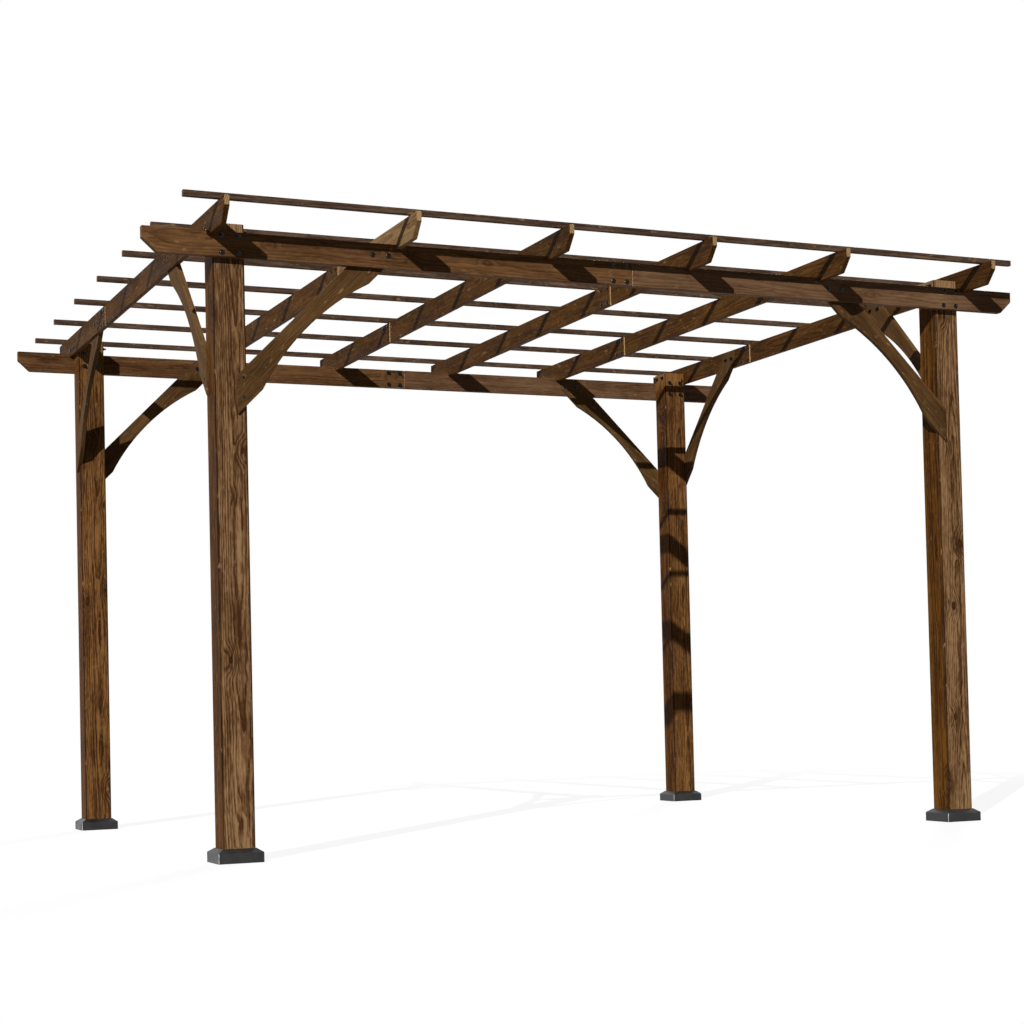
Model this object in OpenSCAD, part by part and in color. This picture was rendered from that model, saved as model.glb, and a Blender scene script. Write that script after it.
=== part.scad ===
// Freestanding wooden pergola
// Four square posts in moulded base trims carry two lapped beams, six lapped rafters and seven slats.
// A curved knee brace stiffens each corner in both directions.
// The origin is on the ground at the middle of the plan, +X runs along the front and +Y to the back.

/* [Posts] */
// Distance between the outer side faces of the left and right posts
span_x = 3146; // [2600:2:4000]
// Distance between the outer faces of the front and rear posts
span_y = 2546; // [2200:2:3600]
// Side of a square post
post_w = 115; // [90:1:140]
// Height of a post
post_h = 2239; // [1900:1:2800]
// Bevel along the four long edges of a post
post_ease = 5; // [1:0.5:10]

/* [Base trims] */
// Side of the square base trim
base_w = 164; // [156:1:220]
// Height of the upright sides of the trim
base_h = 35; // [20:1:80]
// Height of the sloped collar above the upright sides
collar_h = 15; // [8:1:40]
// Edge of the collar against the post
collar_lip = 1.5; // [0.5:0.5:4]
// Radius of the upright corners of the trim
base_round = 6; // [1:0.5:6]
// Wall of the moulded trim
base_wall = 4; // [2:0.5:6]

/* [Beams] */
// Depth of a beam
beam_h = 89; // [70:1:120]
// Thickness of a beam
beam_t = 28; // [20:1:45]
// Part of the post that stands above the beam
post_rise = 36; // [20:1:60]
// Length of a beam past the outer face of a post
beam_over = 252; // [120:1:400]
// Upright part of a beam's end, above the bevel
beam_upright = 41; // [15:1:60]
// Length of the bevel along a beam's bottom
beam_bevel = 52; // [20:1:90]
// Overlap of the two halves of a beam
beam_lap = 100; // [60:1:160]
// Open joint at each end of a beam's lap
beam_lap_gap = 3; // [0.5:0.5:8]

/* [Rafters] */
// Depth of a rafter
rafter_h = 89; // [70:1:120]
// Thickness of a rafter
rafter_t = 19; // [14:1:38]
// Depth of the notch that seats a rafter on a beam
rafter_notch = 15; // [8:1:25]
// Length of a rafter past the outer face of a post
rafter_over = 244; // [120:1:360]
// Upright part of a rafter's tip, above the bevel
rafter_upright = 34; // [12:1:55]
// Length of the bevel along a rafter's bottom
rafter_bevel = 50; // [20:1:90]
// From the outer side face of a post to the middle of the first inner rafter
edge_bay = 681.5; // [660:0.5:780]
// Overlap of the two halves of a rafter
rafter_lap = 110; // [70:1:130]
// Open joint at each end of a rafter's lap
rafter_lap_gap = 10; // [2:0.5:12]
// From the outer face of a rear post to the middle of a lap behind the centre
lap_in_rear = 750; // [748:1:860]
// From the outer face of a front post to the middle of a lap before the centre
lap_in_front = 714; // [700:1:860]

/* [Slats] */
// Height of a slat
slat_h = 22; // [16:1:40]
// Thickness of a slat
slat_t = 20; // [14:1:40]
// From the tip of a rafter to the middle of the first slat
slat_edge = 73; // [30:1:140]
// Length of a slat past the outer face of an outer rafter
slat_over = 125; // [40:1:260]

/* [Knee braces] */
// Thickness of a brace
brace_t = 19; // [14:1:32]
// Width of the board that a brace is cut from
brace_w = 98; // [80:1:110]
// Run of the straight upper edge from the post to the bar above
brace_set = 374; // [320:1:400]
// Part of the post's face that the foot of a brace covers
brace_seat = 35; // [20:1:60]
// Space between the far end of a brace and the first inner rafter
brace_end_gap = 10; // [2:1:20]
// Space between the top of a brace and the top of the bar that it is bolted to
brace_under = 6; // [2:1:15]
// Length of the arched part of the lower edge
arch_len = 568; // [400:1:600]
// Rise of the arch
arch_rise = 44; // [20:1:50]

/* [Fits] */
// Side clearance where one piece straddles another
fit = 0.5; // [0.2:0.1:1]

/* [Hidden] */
wood = "#5c4028";
wood_dark = "#4b3421";
black = "#25272b";
slats = 7;
inner_rafters = 4;

beam_top = post_h - post_rise;
beam_bottom = beam_top - beam_h;
rafter_bottom = beam_top - rafter_notch;
rafter_top = rafter_bottom + rafter_h;

beam_half = span_x / 2 + beam_over;
rafter_half = span_y / 2 + rafter_over;
slat_half = span_x / 2 + rafter_t + slat_over;

inner_pitch = (span_x - 2 * edge_bay) / (inner_rafters - 1);
slat_pitch = 2 * (rafter_half - slat_edge) / (slats - 1);
lap_rear = span_y / 2 - lap_in_rear;
lap_front = lap_in_front - span_y / 2;

brace_foot = post_w - brace_seat;
brace_cross = post_w + brace_set;
brace_reach = edge_bay - rafter_t / 2 - brace_end_gap;
brace_rise = min(beam_h, rafter_h) - brace_under;
brace_depth = brace_w * sqrt(2);
arch_r = (arch_len * arch_len / 4 + arch_rise * arch_rise) / (2 * arch_rise);

// Middle of rafter i, counted from the left: the outer two lie on the outer faces of the posts
function rafter_x(i) =
    i == 1 ? -(span_x + rafter_t) / 2 :
    i == inner_rafters + 2 ? (span_x + rafter_t) / 2 :
    (i - (inner_rafters + 3) / 2) * inner_pitch;

// Rafters 2 and 4 are lapped before the centre and the others behind it
function rafter_lap_at(i) = (i == 2 || i == 4) ? lap_front : lap_rear;

// Side view of a whole bar with bevelled ends
function bar_outline(half, h, upright, bevel) = [
    [-half + bevel, 0],
    [half - bevel, 0],
    [half, h - upright],
    [half, h],
    [-half, h],
    [-half, h - upright]
];

// Block between two places along a bar and two across it
module span_block(x0, x1, y0, y1, h) {
    translate([min(x0, x1), min(y0, y1), -1])
        cube([abs(x1 - x0), abs(y1 - y0), h + 2]);
}

// Half of a lapped bar, end -1 or +1: a full section up to its shoulder, then a tongue of half the thickness
module bar_half(end, half, h, t, upright, bevel, lap_at, lap, gap) {
    far = end * (half + 1);
    intersection() {
        rotate([90, 0, 0])
            linear_extrude(t, center = true)
                polygon(bar_outline(half, h, upright, bevel));
        union() {
            span_block(lap_at + end * (lap / 2 + gap), far, -t, t, h);
            span_block(lap_at - end * lap / 2, far, 0, end * t, h);
        }
    }
}

// Puts a corner's pieces in place: x and y run inwards from the outer edge of the post
module corner(sx, sy) {
    translate([sx * span_x / 2, sy * span_y / 2, 0])
        mirror([sx > 0 ? 1 : 0, 0, 0])
            mirror([0, sy > 0 ? 1 : 0, 0])
                children();
}

module post(sx, sy) {
    color(wood)
        corner(sx, sy)
            linear_extrude(post_h)
                polygon([
                    [post_ease, 0],
                    [post_w - post_ease, 0],
                    [post_w, post_ease],
                    [post_w, post_w - post_ease],
                    [post_w - post_ease, post_w],
                    [post_ease, post_w],
                    [0, post_w - post_ease],
                    [0, post_ease]
                ]);
}

// Square pyramid stump on a square block, from its half width below, half width above and heights
module trim_form(low, high, foot, h, slope) {
    profile = [[-low, foot], [low, foot], [low, h], [high, h + slope], [-high, h + slope], [-low, h]];
    intersection() {
        rotate([90, 0, 0])
            linear_extrude(2 * low, center = true)
                polygon(profile);
        rotate([90, 0, 90])
            linear_extrude(2 * low, center = true)
                polygon(profile);
    }
}

// Square with rounded corners, from its half width and the radius of the corners
module round_square(half, r) {
    square([2 * (half - r), 2 * half], center = true);
    square([2 * half, 2 * (half - r)], center = true);
    for (x = [-1, 1], y = [-1, 1])
        translate([x * (half - r), y * (half - r)])
            circle(r, $fn = 48);
}

module base(sx, sy) {
    hole = post_w / 2 + fit;
    color(black)
        corner(sx, sy)
            translate([post_w / 2, post_w / 2, 0])
                difference() {
                    intersection() {
                        trim_form(base_w / 2, hole + collar_lip, 0, base_h, collar_h);
                        linear_extrude(base_h + collar_h)
                            round_square(base_w / 2, base_round);
                    }
                    trim_form(base_w / 2 - base_wall, hole, -1, base_h - base_wall, collar_h);
                    translate([-hole, -hole, -1])
                        cube([2 * hole, 2 * hole, base_h + collar_h + 2]);
                }
}

// The front beam lies on the front faces of the posts; the rear beam is the same turned half round
module beam(sy, sx) {
    color(wood_dark)
        rotate([0, 0, sy < 0 ? 0 : 180])
            translate([0, -(span_y + beam_t) / 2, beam_bottom])
                bar_half(-sy * sx, beam_half, beam_h, beam_t, beam_upright, beam_bevel, 0, beam_lap, beam_lap_gap);
}

// Half of a rafter, end -1 at the front and +1 at the rear, notched over the beam that carries it
module rafter(i, end) {
    notch = beam_t + 2 * fit;
    color(wood)
        translate([rafter_x(i), 0, rafter_bottom])
            rotate([0, 0, 90])
                difference() {
                    bar_half(end, rafter_half, rafter_h, rafter_t, rafter_upright, rafter_bevel,
                        rafter_lap_at(i), rafter_lap, rafter_lap_gap);
                    translate([end * (span_y + beam_t) / 2 - notch / 2, -rafter_t, -1])
                        cube([notch, 2 * rafter_t, rafter_notch + 1]);
                }
}

module slat(j) {
    color(wood_dark)
        translate([-slat_half, (j - (slats + 1) / 2) * slat_pitch - slat_t / 2, rafter_top])
            cube([2 * slat_half, slat_t, slat_h]);
}

// Outline of a brace: x runs from the outer edge of the post, y up from the bottom of the bar above
module brace_outline() {
    difference() {
        polygon([
            [brace_foot, brace_foot - brace_cross - brace_depth],
            [brace_reach, brace_reach - brace_cross - brace_depth],
            [brace_reach, brace_rise],
            [brace_cross + brace_rise, brace_rise],
            [brace_foot, brace_foot - brace_cross]
        ]);
        middle = (brace_foot + brace_reach) / 2;
        drop = (arch_r - arch_rise) / sqrt(2);
        translate([middle + drop, middle - brace_cross - brace_depth - drop])
            circle(arch_r, $fn = 180);
    }
}

// A brace straddles the outer face of the post: its top laps inside the bar and its foot outside the post
module brace_at_corner() {
    big = 2 * brace_reach;
    difference() {
        rotate([90, 0, 0])
            linear_extrude(brace_t, center = true)
                brace_outline();
        translate([0, -brace_t, 0])
            cube([big, brace_t, big]);
        translate([post_w - big, 0, -big])
            cube([big, brace_t, big]);
    }
}

module brace_beam(sx, sy) {
    color(wood)
        corner(sx, sy)
            translate([0, 0, beam_bottom])
                brace_at_corner();
}

module brace_rafter(sx, sy) {
    color(wood)
        corner(sx, sy)
            translate([0, 0, rafter_bottom])
                mirror([1, -1, 0])
                    brace_at_corner();
}

post(-1, -1);  // post_front_left
post(1, -1);  // post_front_right
post(-1, 1);  // post_rear_left
post(1, 1);  // post_rear_right
base(-1, -1);  // base_front_left
base(1, -1);  // base_front_right
base(-1, 1);  // base_rear_left
base(1, 1);  // base_rear_right
beam(-1, -1);  // beam_front_left
beam(-1, 1);  // beam_front_right
beam(1, -1);  // beam_rear_left
beam(1, 1);  // beam_rear_right
rafter(1, -1);  // rafter_1_front
rafter(1, 1);  // rafter_1_rear
rafter(2, -1);  // rafter_2_front
rafter(2, 1);  // rafter_2_rear
rafter(3, -1);  // rafter_3_front
rafter(3, 1);  // rafter_3_rear
rafter(4, -1);  // rafter_4_front
rafter(4, 1);  // rafter_4_rear
rafter(5, -1);  // rafter_5_front
rafter(5, 1);  // rafter_5_rear
rafter(6, -1);  // rafter_6_front
rafter(6, 1);  // rafter_6_rear
slat(1);  // slat_1
slat(2);  // slat_2
slat(3);  // slat_3
slat(4);  // slat_4
slat(5);  // slat_5
slat(6);  // slat_6
slat(7);  // slat_7
brace_beam(-1, -1);  // brace_beam_front_left
brace_beam(1, -1);  // brace_beam_front_right
brace_beam(-1, 1);  // brace_beam_rear_left
brace_beam(1, 1);  // brace_beam_rear_right
brace_rafter(-1, -1);  // brace_rafter_front_left
brace_rafter(1, -1);  // brace_rafter_front_right
brace_rafter(-1, 1);  // brace_rafter_rear_left
brace_rafter(1, 1);  // brace_rafter_rear_right
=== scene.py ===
# %% [markdown]
# # A wooden pergola
# The real pergola is a kit of planed softwood boards, stained brown, bolted together and
# stood on four posts. The boards could be modelled here one by one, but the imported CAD
# model already holds each of them at its true size and place. So this lesson loads that
# model as a fixed frame, gives every board its finish, and adds the steel parts that are
# too small for the CAD model.

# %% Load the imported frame
import math

import bmesh
import bpy
from mathutils import Matrix, Vector


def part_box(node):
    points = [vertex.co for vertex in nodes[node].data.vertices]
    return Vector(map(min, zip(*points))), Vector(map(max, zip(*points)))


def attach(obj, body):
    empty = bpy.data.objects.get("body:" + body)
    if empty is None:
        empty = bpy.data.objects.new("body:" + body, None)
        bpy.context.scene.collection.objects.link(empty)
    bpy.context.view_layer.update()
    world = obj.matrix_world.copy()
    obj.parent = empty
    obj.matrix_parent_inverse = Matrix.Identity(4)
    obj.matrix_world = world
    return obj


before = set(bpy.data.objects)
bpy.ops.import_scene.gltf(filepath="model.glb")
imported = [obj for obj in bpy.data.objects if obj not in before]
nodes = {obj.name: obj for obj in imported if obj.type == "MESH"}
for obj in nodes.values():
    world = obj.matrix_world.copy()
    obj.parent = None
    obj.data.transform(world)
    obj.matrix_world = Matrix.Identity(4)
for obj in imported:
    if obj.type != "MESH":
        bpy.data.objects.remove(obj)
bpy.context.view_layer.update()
MM = 0.001

# %% [markdown]
# ## Camera
# The photograph was taken from below eye height, left of the front, with a long lens. A
# camera can be turned by hand until it looks right, but here its place and three turns
# were fitted to the corners of the posts and beams, so they are written as numbers. The
# shift moves the frame without tilting the camera, which keeps the posts upright.

# %% Camera at the photograph's place
PHOTO_PX = 1024
PHOTO_FOCAL_PX = 1999.9
PHOTO_AXIS_PX = (589.2, 635.9)
SENSOR_MM = 36
EYE = Vector((-3.3543, -8.1061, 0.5331))
YAW, PITCH, ROLL = (math.radians(a) for a in (25.088, 1.856, -1.428))

ahead = Vector((math.sin(YAW) * math.cos(PITCH), math.cos(YAW) * math.cos(PITCH), math.sin(PITCH)))
level = Vector((math.cos(YAW), -math.sin(YAW), 0))
above = level.cross(ahead)
right = level * math.cos(ROLL) + above * math.sin(ROLL)
up = above * math.cos(ROLL) - level * math.sin(ROLL)

lens = bpy.data.cameras.new("camera")
lens.sensor_width = SENSOR_MM
lens.lens = PHOTO_FOCAL_PX / PHOTO_PX * SENSOR_MM
lens.shift_x = 0.5 - PHOTO_AXIS_PX[0] / PHOTO_PX
lens.shift_y = PHOTO_AXIS_PX[1] / PHOTO_PX - 0.5
camera = bpy.data.objects.new("camera", lens)
turned = Matrix((right, up, -ahead)).transposed().to_4x4()
camera.matrix_world = Matrix.Translation(EYE) @ turned
scene = bpy.context.scene
scene.collection.objects.link(camera)
scene.camera = camera
print("lens in mm:", round(lens.lens, 1))

# %% [markdown]
# ## Helpers for materials
# A material in Blender is a small graph of nodes. Colours are easiest to read as the hex
# values that a paint program shows, but shaders work with linear light, so one function
# turns the first into the second. A second function adds any node, sets it and links it,
# and a third starts a material with an empty graph.

# %% Colour and node helpers
def linear(hex_value):
    """Linear colour with alpha from an sRGB hex value."""
    parts = [int(hex_value[i:i + 2], 16) / 255 for i in (1, 3, 5)]
    return [c / 12.92 if c <= 0.04045 else ((c + 0.055) / 1.055) ** 2.4 for c in parts] + [1.0]


def add_node(tree, kind, settings=None, **inputs):
    """Adds a node with its settings and inputs.

    An input is named, or numbered as in i0, and takes a value, a socket or a node.
    """
    node = tree.nodes.new(kind)
    for name, value in (settings or {}).items():
        setattr(node, name, value)
    for name, value in inputs.items():
        if name[0] == "i" and name[1:].isdigit():
            socket = node.inputs[int(name[1:])]
        else:
            label = name.replace("_", " ")
            socket = next(s for s in node.inputs if s.enabled and s.name == label)
        if isinstance(value, bpy.types.Node):
            value = next(s for s in value.outputs if s.enabled)
        if isinstance(value, bpy.types.NodeSocket):
            tree.links.new(value, socket)
        else:
            socket.default_value = value
    return node


def new_material(name):
    """A material with an empty graph, and its tree."""
    material = bpy.data.materials.new(name)
    material.use_nodes = True
    material.node_tree.nodes.clear()
    return material, material.node_tree


print("a middle stain as linear light:", [round(c, 3) for c in linear("#64472b")])

# %% [markdown]
# ## Studio light
# The photograph is a cut-out on white, lit by the sun from the front left, not far above
# the horizon. A sun lamp with the real sun's small disc gives the same crisp shadows of
# slats and rafters. A weaker lamp from the rear right shows the far sides, and a plain white
# world fills the shade. The world is white to the camera and to mirrors but dim as a light,
# so that the stain keeps its written colour.

# %% World and lamps
KEY_TRAVEL, KEY_POWER, KEY_DISC = Vector((0.88, 1.0, -0.672)), 3.8, 0.5
BACK_TRAVEL, BACK_POWER, BACK_DISC = Vector((-0.75, -1.0, -0.60)), 2.0, 12.0
FILL = 0.05
WHITE, BLACK = "#ffffff", "#000000"


def seen_rays(tree):
    """1 for rays that show the background, to the eye, in metal or through glass, else 0."""
    path = add_node(tree, "ShaderNodeLightPath")
    seen = add_node(tree, "ShaderNodeMath", {"operation": "MAXIMUM"},
                    i0=path.outputs["Is Camera Ray"], i1=path.outputs["Is Transmission Ray"])
    return add_node(tree, "ShaderNodeMath", {"operation": "MAXIMUM"},
                    i0=seen, i1=path.outputs["Is Glossy Ray"])


world = bpy.data.worlds.new("white_studio")
scene.world = world
world.use_nodes = True
sky = world.node_tree
sky.nodes.clear()
fill = add_node(sky, "ShaderNodeBackground", Color=linear(WHITE), Strength=FILL)
white = add_node(sky, "ShaderNodeBackground", Color=linear(WHITE), Strength=1.0)
either = add_node(sky, "ShaderNodeMixShader", i0=seen_rays(sky), i1=fill, i2=white)
add_node(sky, "ShaderNodeOutputWorld", Surface=either)

for name, travel, power, disc in (("key_light", KEY_TRAVEL, KEY_POWER, KEY_DISC),
                                  ("back_light", BACK_TRAVEL, BACK_POWER, BACK_DISC)):
    lamp = bpy.data.lights.new(name, "SUN")
    lamp.energy = power
    lamp.angle = math.radians(disc)
    light = bpy.data.objects.new(name, lamp)
    light.rotation_euler = travel.to_track_quat("-Z", "Y").to_euler()
    scene.collection.objects.link(light)
scene.view_settings.view_transform = "Standard"
print("key light:", KEY_POWER, "back light:", BACK_POWER, "fill:", FILL)

# %% [markdown]
# ## Pale floor
# A white floor would need a lot of light to look white, and would throw it back on the
# boards. So this floor is grey as far as light goes, and to the eye it glows by as much as
# it lacks to white. Where the pergola takes the lamp's light away the glow alone is left,
# which shows as a soft shadow. The shadow fades out with the distance from the middle.

# %% Floor
FLOOR_RADIUS, FLOOR_SEGMENTS = 40.0, 96
SHADOW_FROM, SHADOW_TO = 3.0, 7.0
SHADOW_SHARE = 0.8
FLOOR_GREY = "#808080"
LIT_FLOOR = 0.16        # what the grey floor gives back in full light

bm = bmesh.new()
bmesh.ops.create_circle(bm, cap_ends=True, segments=FLOOR_SEGMENTS, radius=FLOOR_RADIUS)
mesh = bpy.data.meshes.new("floor")
bm.to_mesh(mesh)
bm.free()
floor = bpy.data.objects.new("floor", mesh)
scene.collection.objects.link(floor)

paper, tree = new_material("white_paper_floor")
place = add_node(tree, "ShaderNodeTexCoord")
away = add_node(tree, "ShaderNodeVectorMath", {"operation": "LENGTH"}, i0=place.outputs["Object"])
share = add_node(tree, "ShaderNodeMapRange", {"interpolation_type": "SMOOTHSTEP"}, Value=away,
                 From_Min=SHADOW_FROM, From_Max=SHADOW_TO, To_Min=SHADOW_SHARE, To_Max=0.0)
plain = add_node(tree, "ShaderNodeBsdfDiffuse", Color=linear(FLOOR_GREY))
dark = add_node(tree, "ShaderNodeBsdfDiffuse", Color=linear(BLACK))
shaded = add_node(tree, "ShaderNodeMixShader", i0=share, i1=dark, i2=plain)
lacking = add_node(tree, "ShaderNodeMath", {"operation": "MULTIPLY_ADD"},
                   i0=share, i1=-LIT_FLOOR, i2=1.0)
glow = add_node(tree, "ShaderNodeEmission", Color=linear(WHITE), Strength=lacking)
shown = add_node(tree, "ShaderNodeAddShader", i0=shaded, i1=glow)
either = add_node(tree, "ShaderNodeMixShader", i0=seen_rays(tree), i1=plain, i2=shown)
add_node(tree, "ShaderNodeOutputMaterial", Surface=either)
floor.data.materials.append(paper)
print("floor radius in m:", FLOOR_RADIUS)

# %% [markdown]
# ## A board in its own axes
# The boards are planed fir under a brown stain that lets the grain show. A picture of wood
# could be wrapped round each board, but a solid pattern is better here: it runs through the
# board, so faces, edges and ends match as they do in sawn timber. For that each board needs
# its own axes, with X along its grain, and its own stretch of wood, far from the others'.

# %% Board axes and paler ends
BOARD_SHIFT = 7.3       # metres from one board's wood to the next
MOST_LEAN, LEAN_STEP = math.radians(0.9), 2.3
# a board can be paler towards its top and towards its foot
TOP_PALING = (115 * MM, 25 * MM)      # from the top of a board, where it starts and is full
FOOT_PALING = (520 * MM, 180 * MM)     # the same from its foot


def board_axes(grain, face, seed):
    """Rows along the grain, through the face and across it, a little off the saw's line."""
    lean = Matrix.Rotation(MOST_LEAN * math.sin(seed * LEAN_STEP), 3, "Z")
    return lean @ Matrix((grain, face, grain.cross(face)))


def board_space(tree, axes, box, seed):
    """Places in a board's own axes, from its middle, in its own stretch of wood."""
    place = add_node(tree, "ShaderNodeTexCoord")
    start = Vector((BOARD_SHIFT * seed, 0, 0)) - axes @ ((box[0] + box[1]) / 2)
    return add_node(tree, "ShaderNodeMapping", Vector=place.outputs["Object"],
                    Rotation=axes.to_euler("XYZ"), Location=start)


def paling_ends(tree, board, grain, box, seed):
    """Masks for the top of a board and for its foot, by name."""
    along = add_node(tree, "ShaderNodeSeparateXYZ", Vector=board).outputs["X"]
    half = abs((box[1] - box[0]).dot(grain)) / 2
    masks = {}
    for name, end, inward, (start, full) in (("top", half, -1, TOP_PALING),
                                             ("foot", -half, 1, FOOT_PALING)):
        tip = BOARD_SHIFT * seed + end
        masks[name] = add_node(tree, "ShaderNodeMapRange", {"interpolation_type": "SMOOTHSTEP"},
                               Value=along, From_Min=tip + inward * start,
                               From_Max=tip + inward * full)
    return masks


print("each board's wood starts", BOARD_SHIFT, "m after the last")

# %% [markdown]
# ## Knots
# A knot is the foot of a branch, cut through by the saw. Discs could be placed by hand, but a
# Voronoi pattern does it for all the boards: it fills space with cells, and each cell holds
# one knot at most. A knot looks longer along the grain and runs deep into the board.

# %% Knots in the wood
KNOT_PITCH = (330 * MM, 120 * MM)   # along and across the grain
KNOT_LONG = 2.1
KNOT_DEEP = 0.45
KNOT_RADIUS = (-7 * MM, 11 * MM)    # below nought a cell has no knot
KNOT_SPREAD = 0.9
KNOT_DRAW = (0.1, 0.9)              # range of the number that a cell draws


def stretched(tree, vector, size):
    """The vector in units of a pattern that is long along the grain and narrow across it."""
    return add_node(tree, "ShaderNodeVectorMath", {"operation": "MULTIPLY"},
                    i0=vector, i1=(1 / size[0], 1 / size[1], 1 / size[1]))


def knots(tree, bent):
    """How far a point lies inside the nearest knot, negative outside it."""
    cells = stretched(tree, bent, KNOT_PITCH)
    cell = add_node(tree, "ShaderNodeTexVoronoi", Vector=cells, Scale=1.0, Randomness=KNOT_SPREAD)
    offset = add_node(tree, "ShaderNodeVectorMath", {"operation": "SUBTRACT"},
                      i0=cells, i1=cell.outputs["Position"])
    offset = add_node(tree, "ShaderNodeVectorMath", {"operation": "MULTIPLY"}, i0=offset,
                      i1=(KNOT_PITCH[0] / KNOT_LONG, KNOT_PITCH[1] * KNOT_DEEP, KNOT_PITCH[1]))
    reach = add_node(tree, "ShaderNodeVectorMath", {"operation": "LENGTH"}, i0=offset)
    size = add_node(tree, "ShaderNodeMapRange", Value=cell.outputs["Color"],
                    From_Min=KNOT_DRAW[0], From_Max=KNOT_DRAW[1],
                    To_Min=KNOT_RADIUS[0], To_Max=KNOT_RADIUS[1])
    return add_node(tree, "ShaderNodeMath", {"operation": "SUBTRACT"}, i0=size, i1=reach)


print("knots about every", KNOT_PITCH[0] / MM, "mm")

# %% [markdown]
# ## Growth rings
# A log grows a ring each year: pale wood in spring, darker late wood at its end. In a board
# they show as lines or as flames, depending on where the heart of the log was. So the rings
# are drawn as the distance from a heart, waved a little and swollen round the knots. The
# outermost wood, the sapwood, is paler.

# %% Rings round the heart
RING = 6.5 * MM         # wider than in most softwood, so that the rings show from afar
LATE_WOOD = (0.35, 0.95)            # share of a ring where late wood starts and is darkest
SWELL = 13 * MM
FLAME_WAVE = 11 * MM
SAPWOOD = (90 * MM, 97 * MM)
BEND = 36 * MM          # how far the grain wanders sideways


def growth_rings(tree, bent, swirl, flame, pith):
    """Late wood of each ring round a heart given in mm, and the sapwood."""
    heart = [-p * MM - BEND / 2 for p in pith]
    across = add_node(tree, "ShaderNodeVectorMath", {"operation": "MULTIPLY_ADD"},
                      i0=bent, i1=(0, 1, 1), i2=(0, *heart))
    radius = add_node(tree, "ShaderNodeVectorMath", {"operation": "LENGTH"}, i0=across)
    sap = add_node(tree, "ShaderNodeMapRange", Value=radius,
                   From_Min=SAPWOOD[0], From_Max=SAPWOOD[1])
    for wave, height in ((swirl, SWELL), (flame, FLAME_WAVE)):
        radius = add_node(tree, "ShaderNodeMath", {"operation": "MULTIPLY_ADD"},
                          i0=wave, i1=height, i2=radius)
    ring = add_node(tree, "ShaderNodeMath", {"operation": "DIVIDE"}, i0=radius, i1=RING)
    ring = add_node(tree, "ShaderNodeMath", {"operation": "FRACT"}, i0=ring)
    late = add_node(tree, "ShaderNodeMapRange", {"interpolation_type": "SMOOTHSTEP"}, Value=ring,
                    From_Min=LATE_WOOD[0], From_Max=LATE_WOOD[1])
    return late, sap


print("rings every", RING / MM, "mm")

# %% [markdown]
# ## All the patterns of one board
# Beside rings and knots, stained fir shows long streaks, cloudy patches where the stain took
# less, fine fibres, short flecks, drying cracks and scuffs. Each is a noise of its own, long
# along the grain and narrow across it, and most of them follow the bent grain.

# %% Growth of one board
# lengths along and across the grain
STREAK = (650 * MM, 15 * MM)
CLOUD = (300 * MM, 75 * MM)
FIBRE = (110 * MM, 4.5 * MM)
FLECK = (30 * MM, 7 * MM)
CHECK = (240 * MM, 3.2 * MM)
FLAME = (190 * MM, 42 * MM)
SCUFF = (45 * MM, 16 * MM)
WANDER = (900 * MM, 260 * MM)
NOISE_BITE = 0.6
KNOT_SWIRL = 34 * MM    # how far round a knot the grain is bent


def board_growth(tree, axes, grain, box, pith, seed):
    """The patterns that run through a board, by name."""
    board = board_space(tree, axes, box, seed)
    drift = add_node(tree, "ShaderNodeTexNoise", Vector=stretched(tree, board, WANDER),
                     Scale=1.0, Detail=2.0)
    bent = add_node(tree, "ShaderNodeVectorMath", {"operation": "MULTIPLY_ADD"},
                    i0=drift.outputs["Color"], i1=(0, BEND, BEND), i2=board)
    growth = paling_ends(tree, board, grain, box, seed)
    for name, at, size, detail in (("streak", bent, STREAK, 5.0), ("cloud", board, CLOUD, 3.0),
                                   ("fibre", bent, FIBRE, 2.0), ("fleck", bent, FLECK, 3.0),
                                   ("check", bent, CHECK, 1.0), ("flame", bent, FLAME, 3.0),
                                   ("scuff", board, SCUFF, 3.0)):
        growth[name] = add_node(tree, "ShaderNodeTexNoise", Vector=stretched(tree, at, size),
                                Scale=1.0, Detail=detail, Roughness=NOISE_BITE)
    inside = knots(tree, bent)
    swirl = add_node(tree, "ShaderNodeMapRange", {"interpolation_type": "SMOOTHERSTEP"},
                     Value=inside, From_Min=-KNOT_SWIRL, From_Max=0.0)
    late, sap = growth_rings(tree, bent, swirl, growth["flame"], pith)
    growth.update(inside=inside, swirl=swirl, late=late, sap=sap)
    return growth


print("longest pattern in mm:", WANDER[0] / MM, "finest:", CHECK[1] / MM)

# %% [markdown]
# ## Edges, ends and sides
# The eased edges, the sawn ends and the sides of a board look different from its face. Each
# could get a material of its own, but the CAD boards are single pieces, so the direction
# that a surface faces, measured in the board's axes, tells them apart.

# %% Parts of a board
# how squarely a surface faces, from where a mask starts to where it is full
EDGE_FACING = (0.93, 0.80)
LONG_FACING = (0.40, 0.25)
END_FACING = (0.80, 0.95)


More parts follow.
